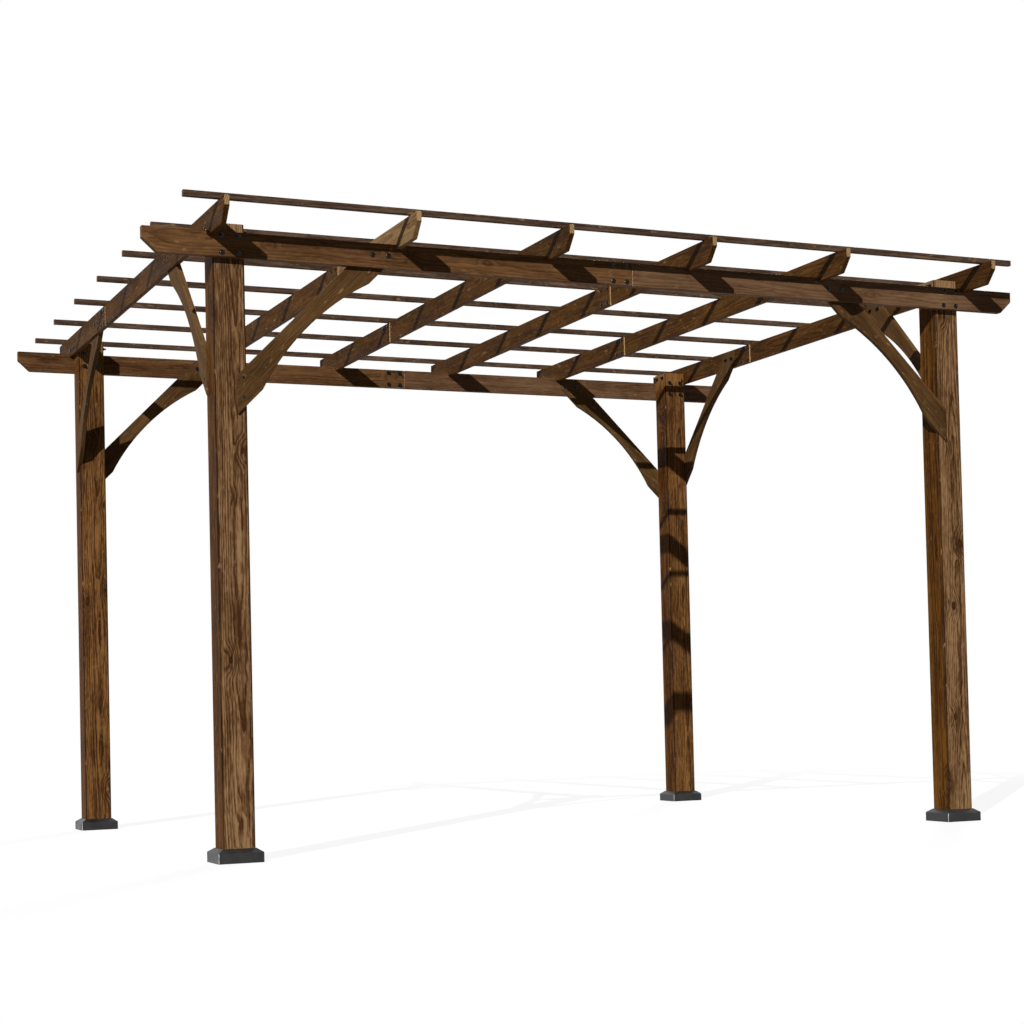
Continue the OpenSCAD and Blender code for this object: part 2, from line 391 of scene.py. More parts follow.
def board_parts(tree, axes, raw):
    """Masks for a board's eased long edges, for its ends as raw as given, and for its sides."""
    normal = add_node(tree, "ShaderNodeNewGeometry").outputs["True Normal"]
    normal = add_node(tree, "ShaderNodeMapping", {"vector_type": "VECTOR"}, Vector=normal,
                      Rotation=axes.to_euler("XYZ"))
    along = add_node(tree, "ShaderNodeSeparateXYZ", Vector=normal).outputs["X"]
    normal = add_node(tree, "ShaderNodeVectorMath", {"operation": "ABSOLUTE"}, i0=normal)
    parts = add_node(tree, "ShaderNodeSeparateXYZ", Vector=normal)
    widest = add_node(tree, "ShaderNodeMath", {"operation": "MAXIMUM"},
                      i0=parts.outputs["Y"], i1=parts.outputs["Z"])
    edge = add_node(tree, "ShaderNodeMapRange", Value=widest,
                    From_Min=EDGE_FACING[0], From_Max=EDGE_FACING[1])
    long = add_node(tree, "ShaderNodeMapRange", Value=parts.outputs["X"],
                    From_Min=LONG_FACING[0], From_Max=LONG_FACING[1])
    edge = add_node(tree, "ShaderNodeMath", {"operation": "MULTIPLY"}, i0=edge, i1=long)
    fore, back = (add_node(tree, "ShaderNodeMapRange", Value=along, From_Min=END_FACING[0] * way,
                           From_Max=END_FACING[1] * way, To_Max=share)
                  for way, share in zip((1, -1), raw))
    end = add_node(tree, "ShaderNodeMath", {"operation": "ADD"}, i0=fore, i1=back)
    return edge, end, parts.outputs["Z"]


print("an edge shows below a facing of", EDGE_FACING[0])

# %% [markdown]
# ## Stain on the grain
# Stain is thin, so what the eye sees is the wood's own light and dark, tinted. The tone is
# added up from the patterns and turned into colour by one ramp from dark to pale stain. A
# look says how strong the figure of a kind of board is.

# %% Colour of the stain
NOISE_SHARES = {"streak": 0.45, "cloud": 0.45, "fibre": 0.38, "fleck": 0.42}
LATE_SHARE, SWIRL_SHARE, SAP_SHARE = -0.17, -0.08, 0.12
MIDDLE_TONE = 0.48
DARK_TONE, PALE_TONE = 0.30, 0.70
FIGURE_LIFT = 0.06      # makes up for the late wood, which only darkens
BOARD_TONE, TONE_STEP = 0.02, 5.1   # from board to board


def stain_colour(tree, growth, look, seed):
    """The colour of the stain on a board, before marks and wear."""
    figure = look["figure"]
    shares = {name: share if name == "cloud" else share * figure
              for name, share in NOISE_SHARES.items()}
    # a noise swings about a half, so half of each share comes off
    tone = (BOARD_TONE * math.sin(seed * TONE_STEP) + MIDDLE_TONE + FIGURE_LIFT * figure
            - sum(shares.values()) / 2)
    shares.update(late=LATE_SHARE * figure, swirl=SWIRL_SHARE, sap=SAP_SHARE,
                  top=look["top_lift"], foot=look["foot_lift"])
    for pattern, share in shares.items():
        tone = add_node(tree, "ShaderNodeMath", {"operation": "MULTIPLY_ADD"},
                        i0=growth[pattern], i1=share, i2=tone)
    ramp = add_node(tree, "ShaderNodeValToRGB", Fac=tone)
    stops = ramp.color_ramp.elements
    stops.new(MIDDLE_TONE)
    for stop, at, shade in zip(stops, (DARK_TONE, MIDDLE_TONE, PALE_TONE), look["stain"]):
        stop.position = at
        stop.color = linear(shade)
    return ramp.outputs["Color"]


print("stain runs from tone", DARK_TONE, "to", PALE_TONE)

# %% [markdown]
# ## Marks in the stain
# Knots and drying cracks go darker than the stain, scuffs paler. On the eased edges the stain
# gathers in a dark line that is rubbed pale in spots. Each mark is a mask and a colour, laid
# over the stain one after the other.

# %% Masks of the marks
KNOT_HEART, KNOT_RIM, CRACK = "#3f2611", "#1c0f05", "#2a180a"
RUBBED, EDGE_DARK = "#95744d", "#211307"
MARK_COLOURS = {"scuff": RUBBED, "core": KNOT_HEART, "rim": KNOT_RIM, "crack": CRACK,
                "gathered": EDGE_DARK, "bare": RUBBED}
# how fully a mark covers the stain
COVER = {"scuff": 0.6, "core": 0.85, "rim": 0.8, "crack": 0.75, "gathered": 0.85, "bare": 0.8}
WORN_COVER = 0.3
SCUFFED, MORE_SCUFFED = (0.64, 0.74), 0.05
RUBBED_FROM, RUBBED_TO = 0.63, 0.68
CRACK_FROM, CRACK_TO = 0.66, 0.72
KNOT_LINE, KNOT_RIM_WIDE = 0.6 * MM, 2.4 * MM


def board_marks(tree, growth, edge, wear):
    """Masks of the marks on a board, by name."""
    scuff = add_node(tree, "ShaderNodeMapRange", Value=growth["scuff"],
                     From_Min=SCUFFED[0] - MORE_SCUFFED * wear,
                     From_Max=SCUFFED[1] - MORE_SCUFFED * wear,
                     To_Max=COVER["scuff"] + WORN_COVER * wear)
    core = add_node(tree, "ShaderNodeMapRange", Value=growth["inside"],
                    From_Min=-KNOT_LINE, From_Max=KNOT_LINE, To_Max=COVER["core"])
    rim = add_node(tree, "ShaderNodeMath", {"operation": "ABSOLUTE"}, i0=growth["inside"])
    rim = add_node(tree, "ShaderNodeMapRange", Value=rim, From_Min=KNOT_LINE,
                   From_Max=KNOT_RIM_WIDE, To_Min=COVER["rim"], To_Max=0.0)
    crack = add_node(tree, "ShaderNodeMapRange", Value=growth["check"],
                     From_Min=CRACK_FROM, From_Max=CRACK_TO, To_Max=COVER["crack"])
    gathered = add_node(tree, "ShaderNodeMath", {"operation": "MULTIPLY"},
                        i0=edge, i1=COVER["gathered"])
    rubbed = add_node(tree, "ShaderNodeMapRange", Value=growth["scuff"],
                      From_Min=RUBBED_FROM, From_Max=RUBBED_TO, To_Max=COVER["bare"])
    bare = add_node(tree, "ShaderNodeMath", {"operation": "MULTIPLY"}, i0=edge, i1=rubbed)
    return dict(scuff=scuff, core=core, rim=rim, crack=crack, gathered=gathered, bare=bare)


print("marks:", ", ".join(MARK_COLOURS))

# %% [markdown]
# ## The whole colour of a board
# The sides of a post get a darker amber as painted shade, marks lie over the stain, and an end
# that was sawn after staining shows raw wood with its rings. These could be painted on by hand,
# but here each is mixed over the one before, so the order of the mixes is the order of the work.

# %% Colour of a board
END_PALE, END_DARK = "#cfac7b", "#86623d"
# a darker amber multiplied onto the sides of the posts: painted shade
PAINTED_SIDE_SHADE = "#bfa462"


def board_colour(tree, growth, marks, end, side, look, seed):
    """The stain with a darker amber on the sides as painted shade, then the marks, then the raw
    ends.
    """
    # the painted side shade, with less of it where the top is paler
    shade_below_top = add_node(tree, "ShaderNodeMath", {"operation": "MULTIPLY_ADD"},
                     i0=growth["top"], i1=-look["side_shade"], i2=look["side_shade"])
    side_shade = add_node(tree, "ShaderNodeMath", {"operation": "MULTIPLY"}, i0=side, i1=shade_below_top)
    colour = add_node(tree, "ShaderNodeMix", {"data_type": "RGBA", "blend_type": "MULTIPLY"},
                      Factor=side_shade, A=stain_colour(tree, growth, look, seed), B=linear(PAINTED_SIDE_SHADE))
    for mark, shade in MARK_COLOURS.items():
        colour = add_node(tree, "ShaderNodeMix", {"data_type": "RGBA"},
                          Factor=marks[mark], A=colour, B=linear(shade))
    sawn = add_node(tree, "ShaderNodeMix", {"data_type": "RGBA"}, Factor=growth["late"],
                    A=linear(END_PALE), B=linear(END_DARK))
    return add_node(tree, "ShaderNodeMix", {"data_type": "RGBA"}, Factor=end, A=colour, B=sawn)


print("raw ends from", END_PALE, "to", END_DARK)

# %% [markdown]
# ## Stained softwood
# The finish of a board puts all this together. Fibres and late wood stand up a little from the
# planed face, and cracks lie deeper: that could be modelled, but a bump in the shader is enough
# for half a millimetre. The surface stays nearly matt, because a wood stain sinks in and
# leaves no film.

# %% Stained softwood material
NOISE_SWING = (0.3, 0.7)            # where most of a noise lies
STAIN_ROUGH = (0.58, 0.75)
STAIN_SHINE = 0.05
GRAIN_RELIEF = 0.5 * MM
LATE_UP, CRACK_UP, RIM_UP = 0.6, -1.2, -0.5


def stained_softwood(name, grain, face, box, look, seed):
    """Planed fir under brown stain, with its grain along the given direction."""
    material, tree = new_material(name)
    axes = board_axes(grain, face, seed)
    growth = board_growth(tree, axes, grain, box, look["pith"], seed)
    edge, end, side = board_parts(tree, axes, look["raw"])
    marks = board_marks(tree, growth, edge, look["wear"])
    colour = board_colour(tree, growth, marks, end, side, look, seed)
    rough = add_node(tree, "ShaderNodeMapRange", Value=growth["streak"],
                     From_Min=NOISE_SWING[0], From_Max=NOISE_SWING[1],
                     To_Min=STAIN_ROUGH[0], To_Max=STAIN_ROUGH[1])
    relief = growth["fibre"]
    for pattern, height in ((growth["late"], LATE_UP), (marks["crack"], CRACK_UP),
                            (marks["rim"], RIM_UP)):
        relief = add_node(tree, "ShaderNodeMath", {"operation": "MULTIPLY_ADD"},
                          i0=pattern, i1=height, i2=relief)
    bump = add_node(tree, "ShaderNodeBump", Strength=0.5, Distance=GRAIN_RELIEF, Height=relief)
    wood = add_node(tree, "ShaderNodeBsdfPrincipled", Base_Color=colour, Roughness=rough,
                    Normal=bump, IOR=1.5, Specular_IOR_Level=STAIN_SHINE)
    add_node(tree, "ShaderNodeOutputMaterial", Surface=wood)
    return material


def stain_board(node, grain, face, look, seed):
    """Gives a CAD board its own stained softwood."""
    board = nodes[node]
    board.material_slots[0].material = stained_softwood(
        "stained_softwood_" + node, Vector(grain).normalized(), Vector(face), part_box(node),
        look, seed)


print("stain roughness:", STAIN_ROUGH)

# %% [markdown]
# ## How the boards were sawn and stained
# A post is sawn round the heart of the log, so the centre of its rings lies inside it, near
# the front face, and a corner keeps a strip of paler sapwood. Beams, rafters, braces and
# slats are sawn beside the heart. Where rings lie flat in a face they draw nested flames,
# and further out they draw straight lines. No two boards take the stain alike: here the left
# half of a beam is more amber than the right half, and one rafter stayed pale. The tips of
# the rafters and the cuts of the laps were sawn after staining, so they stay raw, and the
# tips have weathered a little. The sides of the posts get a darker amber as painted shade,
# which fades out towards their tops. The posts are paler towards the top, and the front posts
# also towards the foot.

# %% Looks of the kinds of board
# stain is dark, middle and pale, pith is the heart's place in mm from the board's middle, raw
# is for the end that the grain points to and for the other end, figure is how strong the grain
# is, then come how much painted shade in amber the sides get, how much paler the top and the
# foot are, and wear how scuffed the board is
POST = dict(pith=(-22, -18), raw=(0.4, 0.4), wear=0.0)
BEAM = dict(raw=(0.9, 0.15), side_shade=0.0, top_lift=0.0, foot_lift=0.0, wear=0.0)
RAFTER = dict(pith=(36, -12), raw=(0.9, 0.6), figure=0.75, side_shade=0.0, top_lift=0.0, foot_lift=0.0,
              wear=0.2)
TRIMMED = dict(raw=(0.2, 0.2), side_shade=0.0, top_lift=0.0, foot_lift=0.0)
LOOKS = {
    "post_front": dict(POST, stain=("#3e2611", "#68492e", "#977550"), figure=1.25, side_shade=1.0,
                       top_lift=0.16, foot_lift=0.07),
    "post_rear": dict(POST, stain=("#371f0b", "#5b3b1e", "#865d33"), figure=1.35, side_shade=0.7,
                      top_lift=0.2, foot_lift=0.0),
    "beam_left": dict(BEAM, stain=("#3b2410", "#5d3f25", "#7f5b38"), pith=(42, 14), figure=0.65),
    "beam_right": dict(BEAM, stain=("#422c1a", "#634731", "#83654a"), pith=(42, -14), figure=0.5),
    "rafter": dict(RAFTER, stain=("#2b1805", "#472c11", "#6a4721")),
    "pale_rafter": dict(RAFTER, stain=("#5b4024", "#866845", "#a8875d")),
    "brace": dict(TRIMMED, stain=("#392511", "#533a20", "#6f502d"), pith=(32, 10), figure=0.6,
                  wear=0.2),
    "slat": dict(TRIMMED, stain=("#32241b", "#4e3b2e", "#735c49"), pith=(26, 8), figure=0.7,
                 wear=0.3),
}
print("looks:", ", ".join(LOOKS))

# %% [markdown]
# ## Staining every board
# The boards of a kit come from many logs, so their grain differs. One material for all of them
# would be simpler, but would repeat its grain from board to board. So each board gets its
# own, from a seed that counts on, with its grain along its length.

# %% Stain every board
SIDES = {"left": -1, "right": 1}
ENDS = {"front": -1, "rear": 1}
CORNERS = [(end, side, sx, sy) for end, sy in ENDS.items() for side, sx in SIDES.items()]
RAFTERS = range(1, 7)
SLATS = range(1, 8)
PALE_RAFTER = "rafter_2_front"
BEAM_WOOD = 41          # takes the beams' wood from past that of all the other boards

seed = 1
for end, side, sx, sy in CORNERS:
    corner = end + "_" + side
    stain_board("post_" + corner, (0, 0, 1), (0, 1, 0), LOOKS["post_" + end], seed)
    stain_board("beam_" + corner, (-sx, 0, 0), (0, 1, 0), LOOKS["beam_" + side], seed + BEAM_WOOD)
    stain_board("brace_beam_" + corner, (-sx, 0, 1), (0, 1, 0), LOOKS["brace"], seed + 2)
    stain_board("brace_rafter_" + corner, (0, -sy, 1), (1, 0, 0), LOOKS["brace"], seed + 3)
    seed += 4
for i in RAFTERS:
    for end, sy in ENDS.items():
        rafter = "rafter_%d_%s" % (i, end)
        kind = "pale_rafter" if rafter == PALE_RAFTER else "rafter"
        stain_board(rafter, (0, -sy, 0), (1, 0, 0), LOOKS[kind], seed)
        seed += 1
for j in SLATS:
    stain_board("slat_%d" % j, (1, 0, 0), (0, 1, 0), LOOKS["slat"], seed)
    seed += 1
print("boards stained:", seed - 1)

# %% [markdown]
# ## Eased edges
# Planed timber never has knife edges: they are eased so that they don't splinter, and the
# folded trims have slightly soft edges under their coat. The CAD boards keep their exact
# shape, so the easing is a modifier. The imported mesh has its corners split, so a weld
# and a planar dissolve come first, and weighted normals keep the wide faces flat after it.

# %% Ease the edges of boards and trims
WOOD_EASE = 1.2 * MM
TRIM_EASE = 0.8 * MM
EASE_SEGMENTS = 2
WELD_WITHIN = 0.01 * MM
FLAT_WITHIN = math.radians(0.5)
SHARP_FROM = math.radians(25)


def ease_edges(piece, width):
    """Rounds the sharp edges of a CAD piece without changing its mesh."""
    weld = piece.modifiers.new("weld", "WELD")
    weld.merge_threshold = WELD_WITHIN
    flat = piece.modifiers.new("flat", "DECIMATE")
    flat.decimate_type = "DISSOLVE"
    flat.angle_limit = FLAT_WITHIN
    ease = piece.modifiers.new("ease", "BEVEL")
    ease.width = width
    ease.segments = EASE_SEGMENTS
    ease.limit_method = "ANGLE"
    ease.angle_limit = SHARP_FROM
    smooth = piece.modifiers.new("normals", "WEIGHTED_NORMAL")
    smooth.weight = 100
    smooth.keep_sharp = False


trims = [name for name in nodes if name.startswith("base_")]
for name, piece in nodes.items():
    ease_edges(piece, TRIM_EASE if name in trims else WOOD_EASE)
print("edges eased on", len(nodes), "pieces")

# %% [markdown]
# ## Powder-coated base trims
# Each post stands in a black square trim with a sloped collar. The trim is steel with a
# powder coat: paint that is baked on and sets with a faint orange-peel skin, half matt,
# with dust in patches. The shape is the CAD node, so only the coat is made here, and a noise
# in space covers all sides of a trim without a seam.

# %% Powder coat
COAT, COAT_DUST = "#1d1e1f", "#31302e"
PEEL = 2.5 * MM
DUST, DUST_BITE = 60 * MM, 0.65
DUSTY, DUSTY_COVER = (0.42, 0.72), 0.8

powder_coat, tree = new_material("powder_coated_steel")
place = add_node(tree, "ShaderNodeTexCoord").outputs["Object"]
peel = add_node(tree, "ShaderNodeTexNoise", Vector=place, Scale=1 / PEEL, Detail=1.0)
dust = add_node(tree, "ShaderNodeTexNoise", Vector=place, Scale=1 / DUST, Detail=5.0,
                Roughness=DUST_BITE)
dusty = add_node(tree, "ShaderNodeMapRange", Value=dust, From_Min=DUSTY[0], From_Max=DUSTY[1],
                 To_Max=DUSTY_COVER)
colour = add_node(tree, "ShaderNodeMix", {"data_type": "RGBA"}, Factor=dusty,
                  A=linear(COAT), B=linear(COAT_DUST))
print("coat", COAT, "with dust", COAT_DUST)

# %% [markdown]
# ## Painted highlight on the trims' corners
# On the upright corners a pale grey is painted into the coat in patches, as a painted
# highlight in place of a glint on the rounded corners. Only a corner faces two sides at once,
# so the facing finds it. The rest of the cell gives the coat its skin and puts it on the four
# trims.

# %% Painted corner highlight and finished coat
# pale grey painted on the upright corners in patches: a painted highlight
CORNER_GLINT_GREY = "#cfcdc8"
GLINT_SPREAD, GLINT_COVER = (0.40, 0.56), (0.35, 0.9)
GLINT_FACING = (0.45, 0.60)
PEEL_RELIEF = 0.15 * MM
COAT_ROUGH, COAT_SWING = (0.28, 0.50), (0.35, 0.7)
COAT_SHINE = 0.3

normal = add_node(tree, "ShaderNodeNewGeometry").outputs["True Normal"]
normal = add_node(tree, "ShaderNodeVectorMath", {"operation": "ABSOLUTE"}, i0=normal)
facing = add_node(tree, "ShaderNodeSeparateXYZ", Vector=normal)
# corner is where the painted highlight goes: surfaces that face two sides at once
corner = add_node(tree, "ShaderNodeMath", {"operation": "MINIMUM"},
                  i0=facing.outputs["X"], i1=facing.outputs["Y"])
corner = add_node(tree, "ShaderNodeMapRange", Value=corner,
                  From_Min=GLINT_FACING[0], From_Max=GLINT_FACING[1])
glint_patches = add_node(tree, "ShaderNodeMapRange", Value=dust, From_Min=GLINT_SPREAD[0], From_Max=GLINT_SPREAD[1],
                   To_Min=GLINT_COVER[0], To_Max=GLINT_COVER[1])
corner = add_node(tree, "ShaderNodeMath", {"operation": "MULTIPLY"}, i0=corner, i1=glint_patches)
# mixes the painted highlight into the coat
colour = add_node(tree, "ShaderNodeMix", {"data_type": "RGBA"}, Factor=corner,
                  A=colour, B=linear(CORNER_GLINT_GREY))

rough = add_node(tree, "ShaderNodeMapRange", Value=dust, From_Min=COAT_SWING[0],
                 From_Max=COAT_SWING[1], To_Min=COAT_ROUGH[0], To_Max=COAT_ROUGH[1])
bump = add_node(tree, "ShaderNodeBump", Strength=0.35, Distance=PEEL_RELIEF, Height=peel)
coat = add_node(tree, "ShaderNodeBsdfPrincipled", Base_Color=colour, Roughness=rough, Normal=bump,
                IOR=1.5, Specular_IOR_Level=COAT_SHINE)
add_node(tree, "ShaderNodeOutputMaterial", Surface=coat)
for name in trims:
    piece = nodes[name]
    piece.material_slots[0].material = powder_coat
print("trims coated:", len(trims))

# %% [markdown]
# ## Carriage bolts
# The boards are held by black carriage bolts: a smooth domed head outside, and a washer,
# a hexagon nut and a short threaded end inside. A dome could be half a sphere, but the real
# one is a low cap with a rounded rim, so each part is turned from its profile, as on a
# lathe. A nut is the same with six sides. All the bolts of one joint make one piece.

# %% Profiles of the turned parts
# radius and height in mm, from the top down
HEAD = [(0, 4.6), (2.5, 4.4), (5.0, 3.8), (7.2, 2.8), (9.0, 1.6), (9.8, 0.9), (10.0, 0.3),
        (9.6, -0.6), (0, -0.6)]
WASHER = [(0, 1.6), (9.6, 1.6), (10.5, 1.2), (10.5, 0.2), (10.0, -0.3), (0, -0.3)]
NUT = [(0, 8.1), (5.6, 8.1), (7.2, 7.5), (7.5, 7.0), (7.5, 2.2), (7.2, 1.6), (5.6, 1.4), (0, 1.4)]
SCREW_HEAD = [(0, 2.2), (1.6, 2.1), (3.2, 1.7), (4.4, 1.0), (5.0, 0.3), (4.8, -0.5), (0, -0.5)]
ROUND, HEXAGON = 28, 6              # sides of a round part and of a nut
THREAD_SIDES, SCREW_SIDES = 18, 20
THREAD_PITCH = 1.25
THREAD_TIP = (2.8, 0.6)             # radius of the flat tip, and height of its bevel
THREAD_TURN = [(4.0, 0), (4.0, -0.2), (3.4, -0.6), (3.4, -0.75)]    # crest, flank and root
THREAD_FOOT = 6.0
POST_TAIL = 16.6        # how far a bolt stands out of a post's inner face


def threaded_end(tail):
    """Profile of a threaded end that stands out of the inner face by a length in mm."""
    profile = [(0, tail), (THREAD_TIP[0], tail)]
    for turn in range(int((tail - NUT[0][1]) / THREAD_PITCH) + 1):
        top = tail - THREAD_TIP[1] - turn * THREAD_PITCH
        profile += [(radius, top + step) for radius, step in THREAD_TURN]
    return profile + [(THREAD_TURN[-1][0], THREAD_FOOT), (0, THREAD_FOOT)]


print("profile points: head", len(HEAD), "nut", len(NUT), "thread", len(threaded_end(POST_TAIL)))

# %% [markdown]
# ## Turning the parts
# A lathe spins the bar while the tool follows the profile. Here each point of a profile is
# spun into a ring of corners, and rings next to each other are joined by faces. Blender has a
# screw modifier for this, but a function can place many parts in one mesh.

# %% Turn parts and bolts
def turn_part(bm, profile, sides, place):
    """Adds one part turned from a profile of radii and heights in mm, with its axis on local Z."""
    rings = []
    for radius, height in profile:
        count = sides if radius else 1
        rings.append([bm.verts.new(place @ Vector((
            radius * math.cos(math.tau * k / sides) * MM,
            radius * math.sin(math.tau * k / sides) * MM, height * MM))) for k in range(count)])
    for upper, lower in zip(rings, rings[1:]):
        for k in range(sides):
            corners = [upper[k % len(upper)], lower[k % len(lower)],
                       lower[(k + 1) % len(lower)], upper[(k + 1) % len(upper)]]
            bm.faces.new(list(dict.fromkeys(corners)))


def facing_out(out):
    """The turn that takes local Z to a direction."""
    return out.to_track_quat("Z", "X").to_matrix().to_4x4()


def add_bolt(bm, at, out, grip, tail, turn):
    """Adds one carriage bolt: its head at a point on the outer face, its nut a grip further in."""
    turn_part(bm, HEAD, ROUND, Matrix.Translation(at) @ facing_out(out))
    inward = facing_out(-out) @ Matrix.Rotation(turn, 4, "Z")
    far = Matrix.Translation(at - out * grip) @ inward
    turn_part(bm, WASHER, ROUND, far)
    turn_part(bm, NUT, HEXAGON, far)
    turn_part(bm, threaded_end(tail), THREAD_SIDES, far)


print("sides of a round part:", ROUND)

# %% [markdown]
# ## Black oxide on the bolts
# Black bolts are steel with a thin oxide finish that is oiled. It is darker and smoother
# than powder coat, shows a small glint on each dome, and wears to grey in patches. Its shine
# is kept low here, because in a white studio a stronger one would turn the heads grey.

# %% Black oxide steel
OXIDE, OXIDE_WORN = "#070708", "#191817"
OXIDE_ROUGH = (0.12, 0.22)
OXIDE_SHINE = 0.16
WEAR, WORN = 4 * MM, (0.5, 0.75)
WEAR_RELIEF = 0.1 * MM

black_oxide, tree = new_material("black_oxide_steel")
place = add_node(tree, "ShaderNodeTexCoord").outputs["Object"]
wear = add_node(tree, "ShaderNodeTexNoise", Vector=place, Scale=1 / WEAR, Detail=3.0)
worn = add_node(tree, "ShaderNodeMapRange", Value=wear, From_Min=WORN[0], From_Max=WORN[1])
colour = add_node(tree, "ShaderNodeMix", {"data_type": "RGBA"}, Factor=worn,
                  A=linear(OXIDE), B=linear(OXIDE_WORN))
rough = add_node(tree, "ShaderNodeMapRange", Value=wear, From_Min=NOISE_SWING[0],
                 From_Max=NOISE_SWING[1], To_Min=OXIDE_ROUGH[0], To_Max=OXIDE_ROUGH[1])
bump = add_node(tree, "ShaderNodeBump", Strength=0.2, Distance=WEAR_RELIEF, Height=wear)
oxide = add_node(tree, "ShaderNodeBsdfPrincipled", Base_Color=colour, Roughness=rough, Normal=bump,
                 Specular_IOR_Level=OXIDE_SHINE)
add_node(tree, "ShaderNodeOutputMaterial", Surface=oxide)
print("oxide roughness:", OXIDE_ROUGH)

# %% [markdown]
# ## One piece for each joint
# A real joint has several bolts that belong together, and a builder would fit them in one go.
# Each bolt and screw could be an object, but that would make 130 of them. So all those of a
# joint become one piece, which rides with the frame and carries the black oxide.

# %% One steel piece for each joint
SMOOTH_WITHIN = math.radians(38)
BOLT_TURN, JOINT_TURN = 0.7, 0.3    # so that the nuts of a joint don't line up


def steel_piece(name, bm):
    """Turns collected parts into one piece that rides with the frame."""
    bmesh.ops.recalc_face_normals(bm, faces=bm.faces)
    mesh = bpy.data.meshes.new(name)
    bm.to_mesh(mesh)
    bm.free()
    mesh.shade_smooth()
    mesh.set_sharp_from_angle(angle=SMOOTH_WITHIN)
    mesh.materials.append(black_oxide)
    piece = bpy.data.objects.new(name, mesh)
    scene.collection.objects.link(piece)
    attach(piece, "root")
    return piece


def bolt_joint(name, points, out, grip, tail):
    """One piece with a bolt at each point, its nuts turned as a spanner left them."""
    bm = bmesh.new()
    for k, point in enumerate(points):
        turn = BOLT_TURN * k + JOINT_TURN * len(name)
        add_bolt(bm, Vector(point), Vector(out), grip, tail, turn)
    return steel_piece(name, bm)


joints = []
print("steel is smooth up to", round(math.degrees(SMOOTH_WITHIN)), "degrees")

# %% [markdown]
# ## Bolts at the four corners
# A beam is held to its post by four bolts in a square, and the outer rafter above it by
# two side by side. Their places are worked out from the boxes of the boards themselves,
# so the heads lie on the outer faces and the nuts on the post's inner faces.

# %% Beams and outer rafters on their posts
BEAM_BOLT = Vector((30, 0, 29.5)) * MM
RAFTER_BOLT_Y = 30 * MM
RAFTER_BOLT_UP = 29 * MM
OUTER_RAFTER = {"left": "rafter_%d_" % RAFTERS[0], "right": "rafter_%d_" % RAFTERS[-1]}


def face_at(node, axis, way):
    """Where the face of a board lies that looks up or down an axis."""
    low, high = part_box(node)
    return (high if way > 0 else low)[axis]


def middle_of(node):
    """The middle of a board's box."""
    low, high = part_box(node)
    return (low + high) / 2


for end, side, sx, sy in CORNERS:
    corner = end + "_" + side
    post, beam, rafter = "post_" + corner, "beam_" + corner, OUTER_RAFTER[side] + end
    post_mid, beam_z = middle_of(post), middle_of(beam).z
    face_y = face_at(beam, 1, sy)
    points = [(post_mid.x + a * BEAM_BOLT.x, face_y, beam_z + b * BEAM_BOLT.z)
              for a in (-1, 1) for b in (-1, 1)]
    joints.append(bolt_joint("bolts_beam_post_" + corner, points, (0, sy, 0),
                             abs(face_y - face_at(post, 1, -sy)), POST_TAIL))
    face_x = face_at(rafter, 0, sx)
    bolt_z = face_at(rafter, 2, -1) + RAFTER_BOLT_UP
    points = [(face_x, post_mid.y + a * RAFTER_BOLT_Y, bolt_z) for a in (-1, 1)]
    joints.append(bolt_joint("bolts_rafter_post_" + corner, points, (sx, 0, 0),
                             abs(face_x - face_at(post, 0, -sx)), POST_TAIL))
print("corner joints:", len(joints))

# %% [markdown]
# ## Bolts through the laps
# Each beam and rafter is two halves, cut to half thickness where they overlap and held by
# four bolts in a square. The middle of a lap is where the boxes of the two halves overlap.

# %% Lapped beams and rafters
LAP_BOLT = 28.5 * MM
LAP_BOLT_UP = 29 * MM
LAP_TAIL = 11.4


def board_point(axis, along, face, height):
    """A point on the face of an upright board that runs along X, axis 0, or Y, axis 1."""
    point = Vector((0, 0, height))
    point[axis], point[1 - axis] = along, face
    return point


def lap_bolts(name, first, second, axis, out):
    """Four bolts through the place where two halves overlap along an axis."""
    starts = [face_at(half, axis, -1) for half in (first, second)]
    stops = [face_at(half, axis, 1) for half in (first, second)]
    middle = (max(starts) + min(stops)) / 2
    near = min(face_at(half, 1 - axis, -1) for half in (first, second))
    far = max(face_at(half, 1 - axis, 1) for half in (first, second))
    height = middle_of(first).z
    face = far if out > 0 else near
    points = [board_point(axis, middle + a * LAP_BOLT, face, height + b * LAP_BOLT_UP)
              for a in (-1, 1) for b in (-1, 1)]
    return bolt_joint(name, points, board_point(axis, 0, out, 0), far - near, LAP_TAIL)


for end, sy in ENDS.items():
    joints.append(lap_bolts("bolts_beam_lap_" + end,
                            "beam_%s_left" % end, "beam_%s_right" % end, 0, sy))
for i in RAFTERS:
    joints.append(lap_bolts("bolts_rafter_lap_%d" % i,
                            "rafter_%d_front" % i, "rafter_%d_rear" % i, 1, -1))
print("joints with laps:", len(joints))

# %% [markdown]
# ## Bolts and screws in the knee braces
# A brace is bolted twice at its top, through the bar that it laps. At its foot it is held
# by two smaller screws that bite into the post, so only their low round heads show.

# %% Brace bolts and screws
BRACE_TOP = (580 * MM, 640 * MM)
BRACE_TOP_UP = 46 * MM
BRACE_FOOT = 101 * MM
BRACE_FOOT_DOWN = (417 * MM, 487 * MM)


def screw_joint(name, points, out):
    """One piece with a low round screw head at each point."""
    bm = bmesh.new()
    for point in points:
        turn_part(bm, SCREW_HEAD, SCREW_SIDES, Matrix.Translation(point) @ facing_out(out))
    return steel_piece(name, bm)


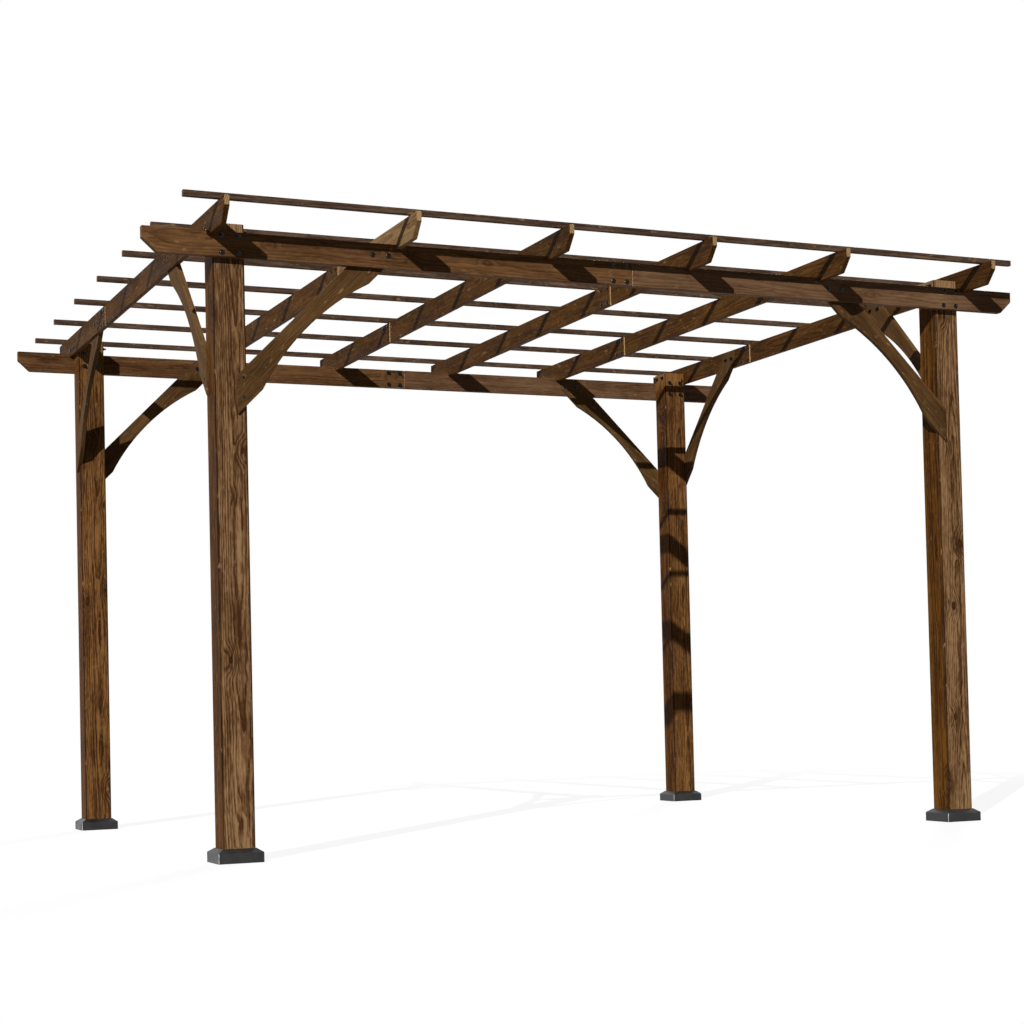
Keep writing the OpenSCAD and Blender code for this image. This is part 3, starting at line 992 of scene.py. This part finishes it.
for end, side, sx, sy in CORNERS:
    corner = end + "_" + side
    bars = {"beam": "beam_" + corner, "rafter": OUTER_RAFTER[side] + end}
    for axis, (kind, bar) in enumerate(bars.items()):
        brace = "brace_%s_%s" % (kind, corner)
        way, out = (sx, sy) if kind == "beam" else (sy, sx)
        post_edge = face_at("post_" + corner, axis, way)
        bar_face, under = face_at(bar, 1 - axis, out), face_at(bar, 2, -1)
        tops = [board_point(axis, post_edge - way * run, bar_face, under + BRACE_TOP_UP)
                for run in BRACE_TOP]
        brace_face = face_at(brace, 1 - axis, out)
        feet = [board_point(axis, post_edge - way * BRACE_FOOT, brace_face, under - drop)
                for drop in BRACE_FOOT_DOWN]
        outward = board_point(axis, 0, out, 0)
        grip = abs(bar_face - face_at(brace, 1 - axis, -out))
        joints.append(bolt_joint("bolts_brace_%s_top_%s" % (kind, corner), tops, outward,
                                 grip, LAP_TAIL))
        joints.append(screw_joint("screws_brace_%s_foot_%s" % (kind, corner), feet, outward))
print("joints with braces:", len(joints))

# %% [markdown]
# ## Screws in the slats
# A countersunk screw holds each slat where it crosses a rafter. Its head is a flat disc with
# a cross recess. The recess is cut as real geometry: the disc is built round the cross.

# %% Slat screws
SCREW_R = 4.2 * MM
SCREW_DEEP, SCREW_TAPER = 3 * MM, 0.5
CROSS_LONG, CROSS_WIDE = 2.3 * MM, 0.55 * MM
CROSS_DEEP, CROSS_TAPER = 1.2 * MM, 0.7
SCREW_PROUD = 0.3 * MM
RIM_DROP = 0.1 * MM
RAFTER_TURN, SLAT_TURN = 0.9, 0.4   # so that the crosses don't line up

arm = [(CROSS_LONG, -CROSS_WIDE), (CROSS_LONG, CROSS_WIDE), (CROSS_WIDE, CROSS_WIDE)]
cross = []
for _ in range(4):
    cross += arm
    arm = [(-y, x) for x, y in arm]
angles = [math.atan2(y, x) for x, y in cross]
disc = [(SCREW_R * math.cos(t), SCREW_R * math.sin(t)) for t in angles]


def add_screw(bm, at, turn):
    """Adds one countersunk head with a cross recess, its flat top just above the slat."""
    place = Matrix.Translation(at) @ Matrix.Rotation(turn, 4, "Z")
    top, deep, rim, tip = (
        [bm.verts.new(place @ Vector((x * taper, y * taper, SCREW_PROUD - depth)))
         for x, y in outline]
        for outline, taper, depth in ((cross, 1.0, 0.0), (cross, CROSS_TAPER, CROSS_DEEP),
                                      (disc, 1.0, RIM_DROP), (disc, SCREW_TAPER, SCREW_DEEP)))
    for k in range(len(cross)):
        n = (k + 1) % len(cross)
        for low, high in ((deep, top), (top, rim), (rim, tip)):
            bm.faces.new((low[k], low[n], high[n], high[k]))
    bm.faces.new(deep)
    bm.faces.new(tip)


for j in SLATS:
    slat = "slat_%d" % j
    bm = bmesh.new()
    for i in RAFTERS:
        at = Vector((middle_of("rafter_%d_front" % i).x, middle_of(slat).y, face_at(slat, 2, 1)))
        add_screw(bm, at, RAFTER_TURN * i + SLAT_TURN * j)
    joints.append(steel_piece("screws_" + slat, bm))
print("steel pieces:", len(joints))
